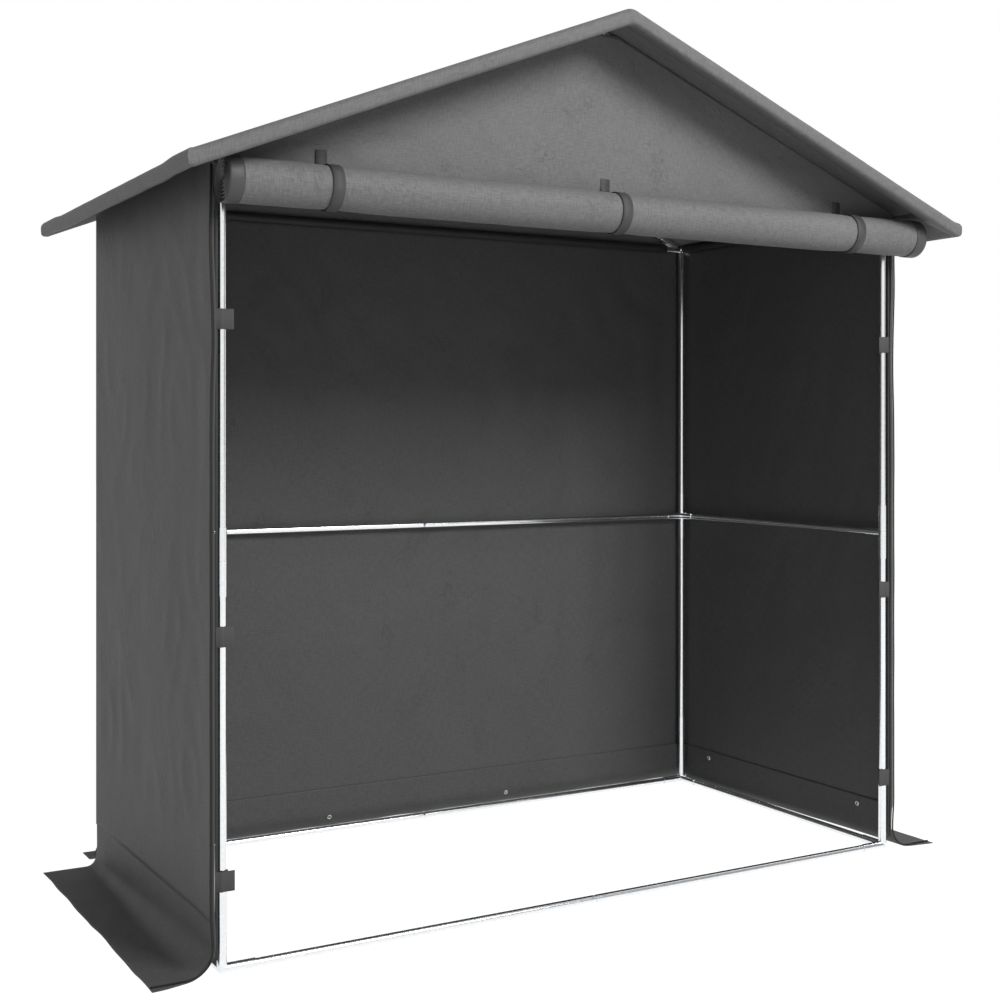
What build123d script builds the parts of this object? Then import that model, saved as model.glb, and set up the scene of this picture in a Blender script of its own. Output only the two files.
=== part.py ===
from build123d import *
import os
from math import acos, cos, radians, sin, tan

os.makedirs("parts", exist_ok=True)

# A cloth shelter with a gable roof on a round tube frame. All sizes are in mm.
# The origin is on the floor under the middle of the frame, X runs across the front
# from left to right, Y runs from the front to the back and Z is up.

# Frame layout, measured between tube axes
post_spacing_x = 1920.0
post_spacing_y = 925.0
mid_rail_z = 884.0
top_rail_z = 1768.0
roof_pitch = 22.0
eave_reach = 116.0
gable_reach = 152.0

# Tubes and the sleeves that join them
tube_radius = 9.5
tube_wall = 1.0
sleeve_radius = 11.0
sleeve_clearance = 0.1
ball_rise = 0.2
stop_gap = 0.2
short_stop = 13.0
strut_stop = 20.0
sharp_stop = 55.0
base_leg = 205.0
base_arm = 75.0
post_arm = 74.0
side_arm = 60.0
sharp_arm = 90.0
rim_arm = 45.0
swage_length = 60.0
swage_clearance = 0.1
swage_taper = 6.0

# Cloth
cloth = 2.5
seat = 0.4
lap_gap = 0.2
rim_drop = 20.0
rim_round = 13.0
ridge_round = 14.0
wall_offset = 22.5
band_seam_z = 114.0
seam_lap = 10.0
hem_inner = 14.0
hem_front = 12.0
wall_top_z = 1766.0
strut_notch_z = 1737.0
hem_top_z = 1734.0
flap_radius = 60.0
side_flap_reach = 162.0
back_flap_reach = 150.0
side_flap_back = 8.0
back_flap_side = 22.0
web_drop = 5.5

# Zips, roll and straps
zip_width = 6.0
zip_thickness = 1.5
zip_clearance = 4.0
roll_cloth = 3.0
roll_outer_arc = 50.0
roll_step = 4.0
roll_arcs = 11
roll_z = 1697.0
roll_overhang = 37.0
roll_shift = 13.0
roll_lead_top = 1743.0
end_band_width = 35.0
end_band_thickness = 1.5
webbing_width = 28.0
webbing = 2.0
tab_height = 43.0
tab_z = 1744.0
strap_share = 0.393
strap_shift = 18.0
post_strap_height = 44.0
post_strap_heights = (205.0, 725.0, 1405.0)
post_strap_tail = 8.0

# Sizes that follow from the ones above
half_x = post_spacing_x / 2
half_y = post_spacing_y / 2
base_rail_z = sleeve_radius + ball_rise
slope = tan(radians(roof_pitch))
lean = cos(radians(roof_pitch))
rise = sin(radians(roof_pitch))
ridge_z = top_rail_z + half_x * slope
eave_x = half_x + eave_reach
eave_z = top_rail_z - eave_reach * slope
rim_y = half_y + gable_reach
tube_bore = tube_radius - tube_wall
sleeve_bore = tube_radius + sleeve_clearance
cover_inner = sleeve_radius + seat
cover_outer = cover_inner + cloth
wall_inner = half_x + wall_offset
wall_outer = wall_inner + cloth
back_inner = half_y + wall_offset
back_outer = back_inner + cloth
gable_inner = half_y + cover_inner + 0.1
gable_outer = gable_inner + cloth
hem_y = half_y + hem_front
tunnel_half_x = half_x - 66.0
tunnel_half_y = half_y - 16.5
roll_half = half_x + roll_overhang


def add_tube(start, end):
    """Add one straight hollow tube between two points on its axis."""
    run = Vector(*end) - Vector(*start)
    with BuildSketch(Plane(origin=start, z_dir=run)) as ring:
        Circle(tube_radius)
        Circle(tube_bore, mode=Mode.SUBTRACT)
    extrude(ring.sketch, amount=run.length)


def toward(start, end, distance):
    """Give the point that lies a distance from start on the way to end."""
    run = Vector(*end) - Vector(*start)
    spot = Vector(*start) + run.normalized() * distance
    return (spot.X, spot.Y, spot.Z)


def add_sleeves(node, arms):
    """Add one connector: a sleeve for each arm round a ball, each bored as far as its stop."""
    with Locations(node):
        Sphere(sleeve_radius + ball_rise)
    for direction, length, stop in arms:
        with Locations(Plane(origin=node, z_dir=direction)):
            Cylinder(sleeve_radius, length, align=(Align.CENTER, Align.CENTER, Align.MIN))
    for direction, length, stop in arms:
        along = Vector(*direction).normalized()
        with Locations(Plane(origin=Vector(*node) + along * stop, z_dir=along)):
            Cylinder(
                sleeve_bore,
                length - stop,
                align=(Align.CENTER, Align.CENTER, Align.MIN),
                mode=Mode.SUBTRACT,
            )


def add_post(side, end):
    """Add the lower and the upper tube of one post, which meet inside the mid sleeve."""
    x = side * half_x
    y = end * half_y
    joint = stop_gap * 5
    add_tube((x, y, base_rail_z + short_stop + stop_gap), (x, y, mid_rail_z - joint))
    add_tube((x, y, mid_rail_z + joint), (x, y, top_rail_z - strut_stop - stop_gap))


def add_joined_rail(y, z):
    """Add a rail in two tubes: the left one has a narrowed end that slides into the right one."""
    reach = half_x - short_stop - stop_gap
    neck = tube_bore - swage_clearance
    with BuildSketch(Plane(origin=(0, y, z), x_dir=(1, 0, 0), z_dir=(0, -1, 0))) as section:
        with BuildLine():
            Polyline(
                (-reach, tube_bore),
                (-reach, tube_radius),
                (-swage_taper - 1, tube_radius),
                (-1, neck),
                (swage_length, neck),
                (swage_length, neck - tube_wall),
                (-1, neck - tube_wall),
                (-swage_taper - 1, tube_bore),
                close=True,
            )
        make_face()
    revolve(section.sketch, axis=Axis((0, y, z), (1, 0, 0)))
    add_tube((0, y, z), (reach, y, z))


# Posts
with BuildPart() as front_left_post:
    add_post(-1, -1)
with BuildPart() as front_right_post:
    add_post(1, -1)
with BuildPart() as back_left_post:
    add_post(-1, 1)
with BuildPart() as back_right_post:
    add_post(1, 1)

# Base rails
side_reach = half_y - short_stop - stop_gap
with BuildPart() as front_base_rail:
    add_joined_rail(-half_y, base_rail_z)
with BuildPart() as back_base_rail:
    add_joined_rail(half_y, base_rail_z)
with BuildPart() as left_base_rail:
    add_tube((-half_x, -side_reach, base_rail_z), (-half_x, side_reach, base_rail_z))
with BuildPart() as right_base_rail:
    add_tube((half_x, -side_reach, base_rail_z), (half_x, side_reach, base_rail_z))

# Mid rails on three sides, the front stays open
with BuildPart() as back_mid_rail:
    add_joined_rail(half_y, mid_rail_z)
with BuildPart() as left_mid_rail:
    add_tube((-half_x, -side_reach, mid_rail_z), (-half_x, side_reach, mid_rail_z))
with BuildPart() as right_mid_rail:
    add_tube((half_x, -side_reach, mid_rail_z), (half_x, side_reach, mid_rail_z))

# Top rails. The long ones stop further from the corner, where the rafters leave at a sharp angle
long_reach = half_x - sharp_stop - stop_gap
with BuildPart() as front_top_rail:
    add_tube((-long_reach, -half_y, top_rail_z), (long_reach, -half_y, top_rail_z))
with BuildPart() as back_top_rail:
    add_tube((-long_reach, half_y, top_rail_z), (long_reach, half_y, top_rail_z))
with BuildPart() as left_top_rail:
    add_tube((-half_x, -side_reach, top_rail_z), (-half_x, side_reach, top_rail_z))
with BuildPart() as right_top_rail:
    add_tube((half_x, -side_reach, top_rail_z), (half_x, side_reach, top_rail_z))

# Rafters over the front posts and over the back posts
with BuildPart() as rafters:
    for side in (-1, 1):
        for end in (-1, 1):
            corner = (side * half_x, end * half_y, top_rail_z)
            ridge = (0, end * half_y, ridge_z)
            add_tube(
                toward(corner, ridge, sharp_stop + stop_gap),
                toward(ridge, corner, short_stop + stop_gap),
            )

# Short struts that carry the eave tubes
with BuildPart() as eave_struts:
    for side in (-1, 1):
        for end in (-1, 1):
            corner = (side * half_x, end * half_y, top_rail_z)
            eave = (side * eave_x, end * half_y, eave_z)
            add_tube(
                toward(corner, eave, strut_stop + stop_gap),
                toward(eave, corner, short_stop + stop_gap),
            )

# Ridge pole and rim tubes
pole_reach = rim_y - short_stop - stop_gap
with BuildPart() as ridge_pole:
    add_tube((0, -pole_reach, ridge_z), (0, pole_reach, ridge_z))

with BuildPart() as eave_tubes:
    for side in (-1, 1):
        add_tube((side * eave_x, -pole_reach, eave_z), (side * eave_x, pole_reach, eave_z))

with BuildPart() as rake_tubes:
    for side in (-1, 1):
        for end in (-1, 1):
            peak = (0, end * rim_y, ridge_z)
            eave = (side * eave_x, end * rim_y, eave_z)
            add_tube(
                toward(peak, eave, short_stop + stop_gap),
                toward(eave, peak, short_stop + stop_gap),
            )

# Sleeve connectors. Each arm is a direction, a length and the place where the tube stops
with BuildPart() as base_corner_connectors:
    for side in (-1, 1):
        for end in (-1, 1):
            add_sleeves(
                (side * half_x, end * half_y, base_rail_z),
                [
                    ((0, 0, 1), base_leg, short_stop),
                    ((-side, 0, 0), base_arm, short_stop),
                    ((0, -end, 0), base_arm, short_stop),
                ],
            )

with BuildPart() as post_connectors:
    for side in (-1, 1):
        for end in (-1, 1):
            arms = [
                ((0, 0, 1), post_arm, 0),
                ((0, 0, -1), post_arm, 0),
                ((0, -end, 0), side_arm, short_stop),
            ]
            if end > 0:
                arms.append(((-side, 0, 0), side_arm, short_stop))
            add_sleeves((side * half_x, end * half_y, mid_rail_z), arms)

with BuildPart() as top_corner_connectors:
    for side in (-1, 1):
        for end in (-1, 1):
            add_sleeves(
                (side * half_x, end * half_y, top_rail_z),
                [
                    ((0, 0, -1), post_arm, strut_stop),
                    ((-side, 0, 0), sharp_arm, sharp_stop),
                    ((0, -end, 0), side_arm, short_stop),
                    ((-side * lean, 0, rise), sharp_arm, sharp_stop),
                    ((side * lean, 0, -rise), rim_arm, strut_stop),
                ],
            )

with BuildPart() as ridge_connectors:
    for end in (-1, 1):
        add_sleeves(
            (0, end * half_y, ridge_z),
            [
                ((0, 1, 0), rim_arm, 0),
                ((0, -1, 0), rim_arm, 0),
                ((lean, 0, -rise), side_arm, short_stop),
                ((-lean, 0, -rise), side_arm, short_stop),
            ],
        )

with BuildPart() as eave_tees:
    for side in (-1, 1):
        for end in (-1, 1):
            add_sleeves(
                (side * eave_x, end * half_y, eave_z),
                [
                    ((0, 1, 0), rim_arm, 0),
                    ((0, -1, 0), rim_arm, 0),
                    ((-side * lean, 0, rise), rim_arm, short_stop),
                ],
            )

with BuildPart() as rim_corner_connectors:
    for side in (-1, 1):
        for end in (-1, 1):
            add_sleeves(
                (side * eave_x, end * rim_y, eave_z),
                [
                    ((0, -end, 0), rim_arm, short_stop),
                    ((-side * lean, 0, rise), side_arm, short_stop),
                ],
            )

with BuildPart() as rim_ridge_connectors:
    for end in (-1, 1):
        add_sleeves(
            (0, end * rim_y, ridge_z),
            [
                ((0, -end, 0), rim_arm, short_stop),
                ((lean, 0, -rise), side_arm, short_stop),
                ((-lean, 0, -rise), side_arm, short_stop),
            ],
        )


def roof_line(x, above):
    """Give the height of the roof at x, at a distance square to the slope from the tube axes."""
    return ridge_z - abs(x) * slope + above / lean


# The roof cover is one sheet over both slopes that turns down outside the rim tubes
with BuildPart() as roof_cover:
    rim_x = eave_x + cover_outer
    with BuildSketch(Plane.XZ):
        with BuildLine():
            Polyline(
                (0, roof_line(0, cover_outer)),
                (rim_x, roof_line(rim_x, cover_outer)),
                (rim_x, roof_line(rim_x, -rim_drop)),
                (0, roof_line(0, -rim_drop)),
                (-rim_x, roof_line(rim_x, -rim_drop)),
                (-rim_x, roof_line(rim_x, cover_outer)),
                close=True,
            )
        make_face()
    extrude(amount=rim_y + cover_outer, both=True)
    fillet(edges().filter_by(Axis.Y).sort_by(Axis.Z)[-1], radius=ridge_round)
    fillet(edges().filter_by(Axis.Z), radius=rim_round)
    top_faces = faces().filter_by(lambda face: face.normal_at().Z > 0.5)
    rim_edges = top_faces.edges().filter_by(
        lambda edge: abs(abs((edge @ 0.5).X) - rim_x) < rim_round
        or abs(abs((edge @ 0.5).Y) - rim_y - cover_outer) < rim_round
    )
    fillet(rim_edges, radius=rim_round)
    under_faces = faces().filter_by(lambda face: face.normal_at().Z < -0.5)
    offset(amount=-cloth, openings=under_faces)


def gable_sheet(low_z):
    """Sketch a gable panel that fits under the roof and clears the ridge pole."""
    under_roof = cover_inner - seat
    reach = (roof_line(0, under_roof) - low_z) / slope
    with BuildLine() as outline:
        if reach > wall_outer:
            Polyline(
                (-wall_outer, low_z),
                (wall_outer, low_z),
                (wall_outer, roof_line(wall_outer, under_roof)),
                (0, roof_line(0, under_roof)),
                (-wall_outer, roof_line(wall_outer, under_roof)),
                close=True,
            )
        else:
            Polyline((-reach, low_z), (reach, low_z), (0, roof_line(0, under_roof)), close=True)
    make_face(outline.edges())
    with Locations((0, ridge_z)):
        Circle(cover_inner, mode=Mode.SUBTRACT)
    with Locations((0, ridge_z + cover_inner)):
        Rectangle(2 * cover_inner, 2 * cover_inner, mode=Mode.SUBTRACT)


# The front gable hangs in front of the rafters and wraps round the front top rail
with BuildPart() as front_gable:
    with BuildSketch(Plane.XZ.offset(gable_inner)):
        gable_sheet(strut_notch_z)
    extrude(amount=cloth)
    with BuildSketch(Plane.YZ):
        with Locations((-half_y, top_rail_z)):
            Circle(cover_outer)
            Circle(cover_inner, mode=Mode.SUBTRACT)
    extrude(amount=tunnel_half_x, both=True)

# The back gable starts just above the pocket of the back wall
with BuildPart() as back_gable:
    pocket_edge = top_rail_z + cover_outer * sin(acos(cover_inner / cover_outer))
    with BuildSketch(Plane.XZ.offset(-gable_outer)):
        gable_sheet(pocket_edge + seat)
    extrude(amount=cloth)


def add_side_wall(side):
    """Add one side wall: the sheet, its front hem and the pocket that holds it on the top rail."""
    with BuildSketch(Plane.YZ.offset(side * wall_inner)) as sheet:
        with BuildLine():
            Polyline(
                (-hem_y, band_seam_z),
                (-hem_y, strut_notch_z),
                (-tunnel_half_y, strut_notch_z),
                (-tunnel_half_y, wall_top_z),
                (tunnel_half_y, wall_top_z),
                (tunnel_half_y, strut_notch_z),
                (back_inner - lap_gap, strut_notch_z),
                (back_inner - lap_gap, band_seam_z),
                close=True,
            )
        make_face()
    extrude(sheet.sketch, amount=side * cloth)
    hem_mid_x = half_x + (hem_inner + wall_offset + cloth) / 2
    with BuildSketch(Plane.XY.offset(band_seam_z)) as hem:
        with Locations((side * hem_mid_x, -hem_y + cloth / 2)):
            Rectangle(wall_offset + cloth - hem_inner, cloth)
    extrude(hem.sketch, amount=hem_top_z - band_seam_z)
    with BuildSketch(Plane.XZ) as pocket:
        with Locations((side * half_x, top_rail_z)):
            Circle(cover_outer)
            Circle(cover_inner, mode=Mode.SUBTRACT)
        flat_top = (
            side * half_x + side * rise * (cover_inner - seat + cover_outer),
            top_rail_z + lean * (cover_inner - seat + cover_outer),
        )
        with Locations(Location((flat_top[0], flat_top[1], 0), (0, 0, -side * roof_pitch))):
            Rectangle(4 * cover_outer, 2 * cover_outer, mode=Mode.SUBTRACT)
        web_x = half_x + (cover_inner + wall_offset + 1) / 2
        with Locations((side * web_x, top_rail_z - web_drop - cloth / 2)):
            Rectangle(wall_offset + 1 - cover_inner, cloth)
    extrude(pocket.sketch, amount=tunnel_half_y, both=True)


with BuildPart() as left_wall:
    add_side_wall(-1)
with BuildPart() as right_wall:
    add_side_wall(1)

# Back wall with the pocket on the back top rail
with BuildPart() as back_wall:
    with BuildSketch(Plane.XZ.offset(-back_outer)):
        with Locations((0, (band_seam_z + wall_top_z) / 2)):
            Rectangle(2 * wall_outer, wall_top_z - band_seam_z)
    extrude(amount=cloth)
    with BuildSketch(Plane.YZ):
        with Locations((half_y, top_rail_z)):
            Circle(cover_outer)
            Circle(cover_inner, mode=Mode.SUBTRACT)
        web_y = half_y + (cover_inner + wall_offset + 1) / 2
        with Locations((web_y, top_rail_z - web_drop - cloth / 2)):
            Rectangle(wall_offset + 1 - cover_inner, cloth)
    extrude(amount=tunnel_half_x, both=True)


def flap_profile(inner, reach, top):
    """Sketch a flap that drops from a seam, turns outwards and lies flat on the floor."""
    line = inner - lap_gap - cloth / 2
    with BuildLine() as path:
        Line((line, top), (line, flap_radius + cloth / 2))
        CenterArc((line + flap_radius, flap_radius + cloth / 2), flap_radius, 180, 90)
        Line((line + flap_radius, cloth / 2), (reach, cloth / 2))
    trace(path.line, line_width=cloth)


def add_side_flap(side):
    """Add one side flap: it laps inside the wall seam and its front edge runs on below the hem."""
    to_front = Plane(origin=(0, 0, 0), x_dir=(side, 0, 0), z_dir=(0, -side, 0))
    with BuildSketch(to_front.offset(side * (hem_y - cloth - lap_gap))) as full:
        flap_profile(wall_inner, half_x + side_flap_reach, band_seam_z + seam_lap)
    extrude(full.sketch, amount=-side * (hem_y - cloth - lap_gap + half_y + side_flap_back))
    with BuildSketch(to_front.offset(side * hem_y)) as front_edge:
        flap_profile(wall_inner, half_x + side_flap_reach, band_seam_z - lap_gap)
    extrude(front_edge.sketch, amount=-side * (cloth + lap_gap))


with BuildPart() as left_ground_flap:
    add_side_flap(-1)
with BuildPart() as right_ground_flap:
    add_side_flap(1)

with BuildPart() as back_ground_flap:
    with BuildSketch(Plane.YZ):
        flap_profile(back_inner, half_y + back_flap_reach, band_seam_z + seam_lap)
    extrude(amount=half_x + back_flap_side, both=True)

# Zips run down the front edges of the side walls and out along the flaps
with BuildPart() as zip_strips:
    zip_low = zip_width / 2 + 0.3
    zip_turn = flap_radius - zip_clearance
    for side in (-1, 1):
        with BuildSketch(Plane.XZ.offset(hem_y + lap_gap)):
            with BuildLine():
                Line((side * wall_outer, hem_top_z), (side * wall_outer, zip_low + zip_turn))
                if side > 0:
                    CenterArc((wall_outer + zip_turn, zip_low + zip_turn), zip_turn, 180, 90)
                else:
                    CenterArc((-wall_outer - zip_turn, zip_low + zip_turn), zip_turn, 0, -90)
                Line(
                    (side * (wall_outer + zip_turn), zip_low),
                    (side * (half_x + side_flap_reach), zip_low),
                )
            trace(line_width=zip_width)
        extrude(amount=zip_thickness)

# The door is rolled up from the bottom: it drops from the gable and winds inwards
roll_rear = gable_outer + seat + roll_cloth / 2
lower_y = -roll_rear - roll_outer_arc
upper_y = lower_y - roll_step
with BuildPart() as door_roll:
    with BuildSketch(Plane.YZ.offset(roll_shift - roll_half)):
        with BuildLine():
            Line((-roll_rear, roll_lead_top), (-roll_rear, roll_z))
            for turn in range(roll_arcs):
                radius = roll_outer_arc - turn * roll_step
                if turn % 2 == 0:
                    CenterArc((lower_y, roll_z), radius, 0, -180)
                else:
                    CenterArc((upper_y, roll_z), radius, 180, -180)
        trace(line_width=roll_cloth)
    extrude(amount=2 * roll_half)


def wrap_profile(gap, thickness, last_angle):
    """Sketch a band round the outside of the roll, open at the rear where the door comes down."""
    radius = roll_outer_arc + roll_cloth / 2 + gap + thickness / 2
    with BuildLine() as path:
        CenterArc((lower_y, roll_z), radius, -20, -160)
        CenterArc((upper_y, roll_z), radius - roll_step, 180, last_angle - 180)
    trace(path.line, line_width=thickness)


with BuildPart() as roll_end_bands:
    for side in (-1, 1):
        with BuildSketch(Plane.YZ.offset(roll_shift + side * roll_half)):
            wrap_profile(lap_gap, end_band_thickness, 60)
        extrude(amount=-side * end_band_width)

# Three straps go round the roll and run back over its top to a tab on the gable
strap_gap = 0.3
tab_front = gable_outer + lap_gap + webbing
strap_radius = roll_outer_arc + roll_cloth / 2 + strap_gap + webbing / 2
strap_crown = roll_z + strap_radius - roll_step
strap_places = [strap_shift + k * strap_share * post_spacing_x for k in (-1, 0, 1)]
with BuildPart() as roll_straps:
    for place in strap_places:
        with BuildSketch(Plane.YZ.offset(place)):
            with BuildLine():
                CenterArc((lower_y, roll_z), strap_radius, -20, -160)
                CenterArc((upper_y, roll_z), strap_radius - roll_step, 180, -90)
                Line((upper_y, strap_crown), (-tab_front - lap_gap, strap_crown))
            trace(line_width=webbing)
        extrude(amount=webbing_width / 2, both=True)

with BuildPart() as roll_strap_tabs:
    for place in strap_places:
        with Locations((place, -gable_outer - lap_gap - webbing / 2, tab_z + tab_height / 2)):
            Box(webbing_width, webbing, tab_height)

# Straps that tie the wall hems to the front posts, the lowest one lies over the base sleeve
with BuildPart() as post_straps:
    for side in (-1, 1):
        for height in post_strap_heights:
            over_sleeve = height - post_strap_height / 2 < base_rail_z + base_leg
            loop = (sleeve_radius if over_sleeve else tube_radius) + strap_gap
            front = -half_y - loop - webbing / 2
            hem_back = -hem_y + cloth + lap_gap + webbing / 2
            with BuildSketch(Plane.XY.offset(height - post_strap_height / 2)):
                with Locations((side * half_x, -half_y)):
                    Circle(loop + webbing)
                    Circle(loop, mode=Mode.SUBTRACT)
                with BuildLine():
                    FilletPolyline(
                        (side * (half_x - loop - post_strap_tail), front),
                        (side * (half_x + 3), front),
                        (side * (half_x + 12), hem_back),
                        (side * (half_x + 19), hem_back),
                        radius=2,
                    )
                trace(line_width=webbing)
            extrude(amount=post_strap_height)

pieces = {
    "front_left_post": front_left_post,
    "front_right_post": front_right_post,
    "back_left_post": back_left_post,
    "back_right_post": back_right_post,
    "front_base_rail": front_base_rail,
    "back_base_rail": back_base_rail,
    "left_base_rail": left_base_rail,
    "right_base_rail": right_base_rail,
    "back_mid_rail": back_mid_rail,
    "left_mid_rail": left_mid_rail,
    "right_mid_rail": right_mid_rail,
    "front_top_rail": front_top_rail,
    "back_top_rail": back_top_rail,
    "left_top_rail": left_top_rail,
    "right_top_rail": right_top_rail,
    "rafters": rafters,
    "eave_struts": eave_struts,
    "ridge_pole": ridge_pole,
    "eave_tubes": eave_tubes,
    "rake_tubes": rake_tubes,
    "base_corner_connectors": base_corner_connectors,
    "post_connectors": post_connectors,
    "top_corner_connectors": top_corner_connectors,
    "ridge_connectors": ridge_connectors,
    "eave_tees": eave_tees,
    "rim_corner_connectors": rim_corner_connectors,
    "rim_ridge_connectors": rim_ridge_connectors,
    "roof_cover": roof_cover,
    "front_gable": front_gable,
    "back_gable": back_gable,
    "left_wall": left_wall,
    "right_wall": right_wall,
    "back_wall": back_wall,
    "left_ground_flap": left_ground_flap,
    "right_ground_flap": right_ground_flap,
    "back_ground_flap": back_ground_flap,
    "zip_strips": zip_strips,
    "door_roll": door_roll,
    "roll_end_bands": roll_end_bands,
    "roll_straps": roll_straps,
    "roll_strap_tabs": roll_strap_tabs,
    "post_straps": post_straps,
}
for name, piece in pieces.items():
    piece.part.label = name
    export_step(piece.part, f"parts/{name}.step")
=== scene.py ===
"""A cloth bike shelter: woven cover, straps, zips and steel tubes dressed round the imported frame."""

import logging
import math
from dataclasses import dataclass
from enum import Enum
from typing import Callable, Sequence

import bpy
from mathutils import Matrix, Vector, noise

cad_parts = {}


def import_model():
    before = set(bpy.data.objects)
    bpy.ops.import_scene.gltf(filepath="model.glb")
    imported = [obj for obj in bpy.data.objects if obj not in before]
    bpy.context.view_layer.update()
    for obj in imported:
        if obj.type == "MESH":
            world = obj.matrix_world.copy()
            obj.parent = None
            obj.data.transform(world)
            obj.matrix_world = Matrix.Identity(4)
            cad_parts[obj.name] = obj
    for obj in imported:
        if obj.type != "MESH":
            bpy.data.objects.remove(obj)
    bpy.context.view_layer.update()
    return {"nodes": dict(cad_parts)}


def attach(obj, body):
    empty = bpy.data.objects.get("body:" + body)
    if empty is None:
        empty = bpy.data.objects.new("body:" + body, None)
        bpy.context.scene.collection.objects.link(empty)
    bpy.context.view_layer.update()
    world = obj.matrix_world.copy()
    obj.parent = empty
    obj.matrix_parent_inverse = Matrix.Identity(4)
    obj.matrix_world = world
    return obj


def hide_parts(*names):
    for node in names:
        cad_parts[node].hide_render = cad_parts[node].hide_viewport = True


log = logging.getLogger("shelter")

Point = tuple[float, float, float]
Pair = tuple[float, float]
Thing, Tree, Socket = bpy.types.Object, bpy.types.NodeTree, bpy.types.NodeSocket
MM = 0.001
FULL_TURN = 2 * math.pi
ROUNDING = 1e-9
ACROSS, UPWARD = Vector((1, 0, 0)), Vector((0, 0, 1))


# Sizes shared by the pieces, in metres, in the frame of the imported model


@dataclass(frozen=True)
class Layout:
    """Where the tube axes lie, the radii of the tubes and their sleeves, the tops of the lower sleeves and
    of the hems, and how far from the posts the rail pockets end."""

    post_x: float = 0.960
    post_y: float = 0.4625
    mid_z: float = 0.884
    top_z: float = 1.768
    pitch: float = math.radians(22.0)
    eave_x: float = 1.076
    rim_y: float = 0.6145
    tube: float = 0.0095
    sleeve: float = 0.011
    sleeve_top: float = 0.2162
    hem_top: float = 1.734
    corner_x: float = 0.066
    corner_y: float = 0.0165

    @property
    def slope(self) -> float:
        """Rise of the roof for each metre across."""
        return math.tan(self.pitch)

    @property
    def ridge_z(self) -> float:
        """Height of the ridge pole's axis."""
        return self.top_z + self.post_x * self.slope

    def roof(self, x: float, above: float = 0.0) -> float:
        """Height of the roof at x.

        Args:
            x: Distance from the middle.
            above: Distance square to the slope, from the plane of the tube axes.

        Returns:
            The height in metres.
        """
        return self.ridge_z - abs(x) * self.slope + above / math.cos(self.pitch)

    def rail_shows(self, z: float) -> float:
        """Give how far the middle rail pushes a wall out at a height."""
        return 0.0015 * bump(z, self.mid_z, 0.05)


SITE = Layout()


# Small mathematical helpers


def smooth(low: float, high: float, value: float) -> float:
    """Ease from 0 at low to 1 at high.

    Args:
        low: Where the ramp starts.
        high: Where the ramp ends, which may be below low.
        value: Where to read it.

    Returns:
        A number from 0 to 1.
    """
    share = (value - low) / (high - low)
    share = min(1.0, max(0.0, share))
    return share * share * (3.0 - 2.0 * share)


def bump(value: float, middle: float, width: float) -> float:
    """Give a smooth bump, which is 1 at the middle and near 0 beyond twice the width."""
    return math.exp(-(((value - middle) / width) ** 2))


def soft(u: float, v: float, seed: float, size_u: float, size_v: float) -> float:
    """Read smooth noise with its own size each way.

    Args:
        u: First place, in metres.
        v: Second place, in metres.
        seed: Which slice of the noise to read.
        size_u: Length of a wave along u, in metres.
        size_v: Length of a wave along v, in metres.

    Returns:
        A number near -1 to 1.
    """
    return noise.noise(Vector((u / size_u, v / size_v, seed)))


def crease(u: float, v: float, seed: float, size_u: float, size_v: float) -> float:
    """Read noise with sharp crests, as in cloth that has been folded.

    Args:
        u, v, seed, size_u, size_v: As in soft.

    Returns:
        A number from -1 to 1, with 1 on a narrow crest.
    """
    return 1.0 - 4.0 * min(0.5, abs(soft(u, v, seed, size_u, size_v)))


def hang(u: float, v: float, seed: float) -> float:
    """Read the folds of a sheet that hangs loosely, for a depth of 1.

    Args:
        u: Place across the sheet, in metres.
        v: Place up the sheet, in metres.
        seed: Which sheet.

    Returns:
        A number near -1 to 1.
    """
    broad = soft(u, v, seed, 0.42, 0.75)
    drop = soft(u + 0.12 * v, v, seed + 7.3, 0.16, 0.9)
    pucker = crease(u, v, seed + 3.1, 0.23, 0.19)
    fine = soft(u, v, seed + 11.7, 0.05, 0.06)
    return 0.60 * broad + 0.28 * drop + 0.12 * pucker + 0.06 * fine


def arc(centre: Pair, radius: float, start: float, end: float, steps: int) -> list[Pair]:
    """Give points on an arc in a plane.

    Args:
        centre: Centre of the arc.
        radius: Its radius in metres.
        start: First angle in degrees.
        end: Last angle in degrees.
        steps: Number of parts that the arc is cut into.

    Returns:
        The points, both ends included.
    """
    turns = [math.radians(start + (end - start) * i / steps) for i in range(steps + 1)]
    return [(centre[0] + radius * math.cos(t), centre[1] + radius * math.sin(t)) for t in turns]


def path_length(path: Sequence[Pair | Vector]) -> float:
    """Give the length of a path."""
    return sum(math.dist(a, b) for a, b in zip(path, path[1:]))


def spot_along(path: Sequence[Pair | Vector], share: float) -> Vector:
    """Give the point at a share of a path's length.

    Args:
        path: The path's own points.
        share: From 0 at its start to 1 at its end.

    Returns:
        The point.
    """
    left = share * path_length(path)
    for a, b in zip(path, path[1:]):
        length = math.dist(a, b)
        if left <= length + ROUNDING:
            break
        left -= length
    return Vector(a).lerp(Vector(b), min(1.0, left / length))


def evenly(path: Sequence[Vector], gap: float) -> list[Vector]:
    """Give points along a path, both ends included, at an even spacing near the gap wanted."""
    parts = max(1, round(path_length(path) / gap))
    return [spot_along(path, i / parts) for i in range(parts + 1)]


# Meshes


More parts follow.
